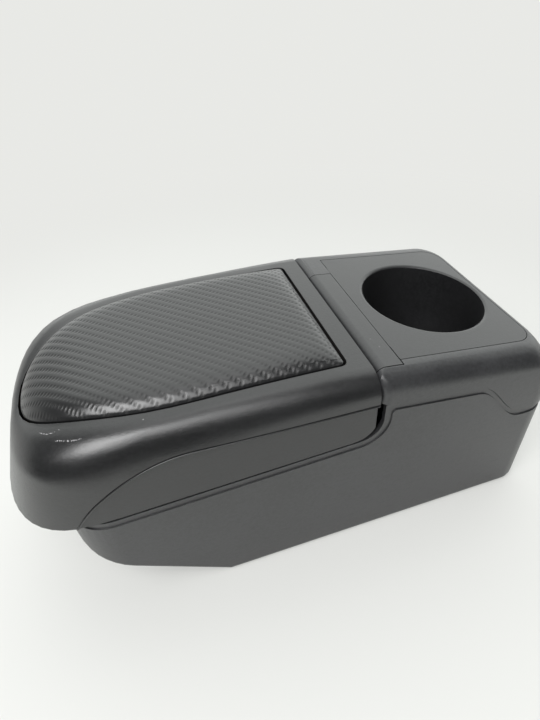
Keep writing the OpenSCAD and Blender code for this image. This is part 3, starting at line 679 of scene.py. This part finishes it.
class ARMREST_OT_pad(bpy.types.Operator):
    """Make the padded top with its embossed vinyl skin"""

    bl_idname = "armrest.pad"
    bl_label = "Pad"

    # Points round the skin's edge, and the rings of points inside it, in mm in from the edge
    count = 900
    insets = (0.0, 0.05, 0.18, 0.4, 0.7, 1.05, 1.5, 2.0, 2.6, 3.2)

    # The gap round the pad, what is added to it behind, and where crown and twill are full, in mm
    gap = 0.6
    rear_gap = 0.3
    crown_reach = 0.7
    twill_reach = 1.5

    # The cloth run: its frames and the scale of its lift
    frames = 20
    gain = 3.6

    # The cloth's points: spacing in mm, height of a row against it, rows on each side of the middle,
    # points in a row, every how many of the edge's points it takes, and clearance from it in mm
    spacing = 3.4
    row_height = 0.866
    rows = 17
    columns = 60
    edge_step = 6
    side_gap = 1.8
    point_gap = 1.9

    # The skin's lattice: points to each wave of ridges and of dots, how many it has each way from the
    # middle, and its clearance from the pad's sides and from the last ring, in mm
    per_ridge = 9
    per_dot = 5
    lattice_reach = 420
    lattice_gap = 3
    ring_gap = 0.3

    def execute(self, context):
        depth = context.scene.armrest.twill / MM
        height = context.scene.armrest.crown / MM
        ring, out = pad_outline(self.count)
        ring = [p - n * (self.gap + self.rear_gap * max(0.0, n.x) ** 4) for p, n in zip(ring, out)]
        count = self.count
        crown = self.swell(context, ring)
        verts = [(p.x, p.y, lid_z(p.x) + PAD_FOOT) for p in ring]
        verts += [(p.x, p.y, lid_z(p.x) + PAD_SIDE_TOP) for p in ring]
        for inset in self.insets:
            for p, n in zip(ring, out):
                q = p - n * inset
                verts.append((q.x, q.y, self.top(crown, q, inset, height, depth)))
        faces = []
        rings = len(self.insets) + 2
        for row in range(rings - 1):
            faces += ring_faces(row * count, count)
        last = self.insets[-1]
        edge = [p - n * last for p, n in zip(ring, out)]
        inside = self.grid(edge, ring)
        tops = [self.top(crown, p, last, height, depth) for p in inside]
        self.close(verts, faces, edge, (rings - 1) * count, inside, tops)
        self.close(verts, faces, list(ring), 0, [], [])
        mesh = bpy.data.meshes.new("pad_skin")
        mesh.from_pydata([(x * MM, y * MM, z * MM) for x, y, z in verts], [], faces)
        outward(mesh)
        mesh.shade_smooth()
        skin = vinyl("pad_vinyl", context.scene.armrest.vinyl)
        pad = link_piece("pad_skin", mesh, skin, "lid_pad", "lid")
        return {"FINISHED"}

    def swell(self, context, ring):
        """Blows up a coarse skin that is held at the pad's edge, as the foam under it does."""
        nearest = plan_tree(ring)
        edge = ring[::self.edge_step]
        inside = []
        for j in range(-self.rows, self.rows + 1):
            for i in range(self.columns):
                along = PAD_TIP + (i + 0.5 * (j % 2)) * self.spacing
                p = Vector((along, j * self.spacing * self.row_height))
                if self.within(p, self.side_gap) and nearest.find((p.x, p.y, 0))[2] > self.point_gap:
                    inside.append(p)
        points, _, triangles, sources, _, _ = fill_ring(edge, inside)
        mesh = bpy.data.meshes.new("crown")
        mesh.from_pydata([(p.x * MM, p.y * MM, 0) for p in points], [], triangles)
        skin = bpy.data.objects.new("crown", mesh)
        context.scene.collection.objects.link(skin)
        held = skin.vertex_groups.new(name="edge")
        held.add([k for k, source in enumerate(sources) if min(source) < len(edge)], 1.0, "REPLACE")
        cloth = skin.modifiers.new("swell", "CLOTH")
        cloth.settings.vertex_group_mass = "edge"
        cloth.settings.use_pressure = True
        cloth.settings.uniform_pressure_force = 120
        cloth.settings.tension_stiffness = 5
        cloth.settings.compression_stiffness = 5
        cloth.settings.shear_stiffness = 5
        cloth.settings.effector_weights.gravity = 0
        cloth.point_cache.frame_start = 1
        cloth.point_cache.frame_end = self.frames
        for frame_number in range(1, self.frames + 1):
            context.scene.frame_set(frame_number)
        skin.modifiers.new("smooth", "SUBSURF").levels = 2
        crown = BVHTree.FromObject(skin, context.evaluated_depsgraph_get())
        bpy.data.objects.remove(skin)
        context.scene.frame_set(1)
        return crown

    def top(self, crown, p, inset, height, depth):
        """Height of the skin at a point this far in from its edge, in mm."""
        rise = self.lift(crown, p, height) * min(1.0, inset / self.crown_reach)
        relief = emboss(p.x, p.y, depth) * min(1.0, inset / self.twill_reach)
        return lid_z(p.x) + pad_roll(inset) + rise - relief

    def lift(self, crown, p, height):
        """How far the foam lifts the skin here, in mm: the blown-up skin, held to a greatest height."""
        hit = crown.ray_cast(Vector((p.x * MM, p.y * MM, 1)), Vector((0, 0, -1)))[0]
        swollen = 0.0 if hit is None else hit.z / MM
        return height * math.tanh(max(0.0, swollen) * self.gain / height)

    def within(self, p, margin):
        """Whether a point lies inside the pad's outline, clear of its straight sides by the margin."""
        if p.x > PAD_BACK - margin or abs(p.y) > PAD_HALF - margin or p.x < PAD_TIP + margin:
            return False
        nose = PAD_TIP + PAD_NOSE
        if p.x > nose:
            return True
        return ((nose - p.x) / PAD_NOSE) ** PAD_POWER + (abs(p.y) / PAD_HALF) ** PAD_POWER < 1

    def grid(self, edge, ring):
        """Points on the twill's own lattice inside the edge, well clear of it."""
        reach = self.lattice_reach
        det = RIDGE[0] * DOT[1] - RIDGE[1] * DOT[0]
        ridge_step = Vector((DOT[1], -DOT[0])) / det / self.per_ridge
        dot_step = Vector((-RIDGE[1], RIDGE[0])) / det / self.per_dot
        nearest = plan_tree(edge)
        inside = []
        for i in range(-reach, reach + 1):
            for j in range(-reach, reach + 1):
                p = ridge_step * i + dot_step * j
                if self.within(p, self.lattice_gap):
                    near, index, gap = nearest.find((p.x, p.y, 0))
                    inward = Vector((near.x - ring[index].x, near.y - ring[index].y))
                    if (p - edge[index]).dot(inward) > 0 and gap > self.ring_gap:
                        inside.append(p)
        return inside

    def close(self, verts, faces, edge, first, inside, tops):
        """Fills the ring of points that starts at first with a skin of triangles."""
        points, _, triangles, sources, _, _ = fill_ring(edge, inside)
        index = {}
        for k, (point, source) in enumerate(zip(points, sources)):
            which = min(source)
            if which < len(edge):
                index[k] = first + which
            else:
                index[k] = len(verts)
                verts.append((point.x, point.y, tops[which - len(edge)]))
        for triangle in triangles:
            faces.append(tuple(index[k] for k in triangle))


class ARMREST_OT_fittings(bpy.types.Operator):
    """Finish the parts inside: backing board, hinge pins, bumpers and screws"""

    bl_idname = "armrest.fittings"
    bl_label = "Inner fittings"

    def execute(self, context):
        finishes = {
            "pad_board": hardboard("fibre_board"),
            "bumper": rubber("bumper_rubber"),
            "hinge_pin": steel("pin_steel"),
            "screws": steel("screw_steel"),
        }
        for node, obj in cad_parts.items():
            for key, finish in finishes.items():
                if key in node:
                    set_material(obj, finish)
        return {"FINISHED"}


class ARMREST_OT_stage(bpy.types.Operator):
    """Make the floor, the soft studio light and the camera"""

    bl_idname = "armrest.stage"
    bl_label = "Studio stage"

    backdrop = (0.81, 0.815, 0.79, 1)

    # Each soft box: its place and size in metres and its power in watts, aimed at the middle of the box
    lamps = (
        ("key_softbox", (-0.72, -0.52, 1.27), (0.62, 0.85), 15.0),
        ("side_softbox", (-0.16, -0.88, 1.27), (0.8, 0.85), 8.0),
        ("ceiling_panel", (0.0, 0.0, 1.6), (0.9, 0.9), 3.0),
    )
    aim = Vector((0, 0, 0.08))

    # The camera, fitted to the photograph: focal length in mm, its place in metres from the front edge
    # of the cup plate, and its turns in degrees
    lens = 25.553
    camera_place = (PLATE_FRONT - 0.12371, -0.23765, 0.32139)
    camera_turns = (41.086, 15.682, 3.704)

    def execute(self, context):
        scene = context.scene
        scene.view_settings.view_transform = "Standard"
        self.floor(scene)
        self.world(scene)
        for name, place, size, power in self.lamps:
            self.lamp(scene, name, place, size, power)
        self.camera(scene)
        return {"FINISHED"}

    def floor(self, scene):
        """Pale paper, darker past its left and near ends. The camera sees it turn into the backdrop."""
        mesh = bpy.data.meshes.new("floor")
        half = 8
        corners = [(-half, -half, 0), (half, -half, 0), (half, half, 0), (-half, half, 0)]
        mesh.from_pydata(corners, [], [(0, 1, 2, 3)])
        floor = bpy.data.objects.new("floor", mesh)
        scene.collection.objects.link(floor)
        material, shader, root, place = new_material("floor_paper")
        sheet = place.part(0).between(-0.62, -0.42) * place.part(1).between(-0.5, -0.35)
        tone = sheet.blend((0.2, 0.2, 0.2, 1), (0.73, 0.735, 0.715, 1))
        feed(shader, {"Base Color": tone, "Roughness": 0.9, "Specular IOR Level": 0.1})
        paper = Sock(material.node_tree, shader.outputs[0])
        glow = root.node("ShaderNodeEmission", None, {"Color": self.backdrop, "Strength": 1.0})
        camera = root.node("ShaderNodeLightPath", out="Is Camera Ray")
        away = place.measure("LENGTH", place).between(0.3, 0.6)
        glossy = root.node("ShaderNodeLightPath", out="Is Glossy Ray") * place.part(1).between(0.0, 0.3)
        shown = camera.maths("MAXIMUM", camera, glossy) * (away * 0.65 + 0.35)
        both = root.node("ShaderNodeMixShader", None, {0: shown, 1: paper, 2: glow})
        output = material.node_tree.nodes["Material Output"]
        material.node_tree.links.new(both.socket, output.inputs[0])
        set_material(floor, material)

    def world(self, scene):
        """A dim room with a pale wall at the back. The camera sees one plain tone."""
        world = bpy.data.worlds.new("studio")
        scene.world = world
        world.use_nodes = True
        tree = world.node_tree
        tree.nodes.clear()
        root = Sock(tree, None)
        way = root.node("ShaderNodeTexCoord", out="Generated")
        wall = way.measure("DOT_PRODUCT", way, (0.26, 0.93, 0.26))
        left = way.measure("DOT_PRODUCT", way, (0.93, 0.37, 0.0))
        low = 1 - way.part(2).between(0.12, 0.32)
        pale_wall = wall.between(0.25, 0.62) * left.between(-0.5, 0.12) * 1.45
        light = pale_wall + low * wall.between(-0.1, 0.3) * 0.5 + 0.1
        room = root.node("ShaderNodeBackground", None, {"Color": (0.97, 1.0, 0.98, 1), "Strength": light})
        seen = root.node("ShaderNodeBackground", None, {"Color": self.backdrop, "Strength": 1.0})
        camera = root.node("ShaderNodeLightPath", out="Is Camera Ray")
        both = root.node("ShaderNodeMixShader", None, {0: camera, 1: room, 2: seen})
        output = tree.nodes.new("ShaderNodeOutputWorld")
        tree.links.new(both.socket, output.inputs[0])

    def lamp(self, scene, name, place, size, power):
        """One rectangular soft box."""
        data = bpy.data.lights.new(name, "AREA")
        data.shape = "RECTANGLE"
        data.size, data.size_y = size
        data.energy = power
        lamp = bpy.data.objects.new(name, data)
        lamp.location = place
        lamp.rotation_euler = (self.aim - Vector(place)).to_track_quat("-Z", "Y").to_euler()
        scene.collection.objects.link(lamp)

    def camera(self, scene):
        """The camera at the photograph's viewing angle."""
        data = bpy.data.cameras.new("camera")
        data.sensor_width = 36
        data.lens = self.lens
        data.clip_start = 0.01
        data.clip_end = 50
        camera = bpy.data.objects.new("camera", data)
        pitch, yaw, roll = (math.radians(a) for a in self.camera_turns)
        level = math.cos(pitch)
        forward = Vector((math.sin(yaw) * level, math.cos(yaw) * level, -math.sin(pitch)))
        right = Vector((math.cos(yaw), -math.sin(yaw), 0))
        up = right.cross(forward)
        turned = right * math.cos(roll) - up * math.sin(roll)
        lifted = up * math.cos(roll) + right * math.sin(roll)
        camera.matrix_world = Matrix((
            (turned.x, lifted.x, -forward.x, self.camera_place[0]),
            (turned.y, lifted.y, -forward.y, self.camera_place[1]),
            (turned.z, lifted.z, -forward.z, self.camera_place[2]),
            (0, 0, 0, 1),
        ))
        scene.collection.objects.link(camera)
        scene.camera = camera


class ARMREST_PT_panel(bpy.types.Panel):
    """Lists the armrest's pieces"""

    bl_idname = "ARMREST_PT_panel"
    bl_label = "Car Centre Armrest"
    bl_space_type = "VIEW_3D"
    bl_region_type = "UI"
    bl_category = "Armrest"

    def draw(self, context):
        for name in ("crown", "twill", "bead", "shell", "plate", "vinyl"):
            self.layout.prop(context.scene.armrest, name)
        for operator in PIECES:
            self.layout.operator(operator.bl_idname)


PIECES = (
    ARMREST_OT_base, ARMREST_OT_plates, ARMREST_OT_lid, ARMREST_OT_bead, ARMREST_OT_pad,
    ARMREST_OT_fittings, ARMREST_OT_stage,
)
CLASSES = (ArmrestSettings, *PIECES, ARMREST_PT_panel)


def register():
    for made in CLASSES:
        bpy.utils.register_class(made)
    bpy.types.Scene.armrest = bpy.props.PointerProperty(type=ArmrestSettings)


def unregister():
    del bpy.types.Scene.armrest
    for made in reversed(CLASSES):
        bpy.utils.unregister_class(made)


def main():
    """Makes every piece and the stage."""
    register()
    bpy.ops.armrest.base()
    bpy.ops.armrest.plates()
    bpy.ops.armrest.lid()
    bpy.ops.armrest.bead()
    bpy.ops.armrest.pad()
    bpy.ops.armrest.fittings()
    bpy.ops.armrest.stage()


if __name__ == "__main__":
    main()
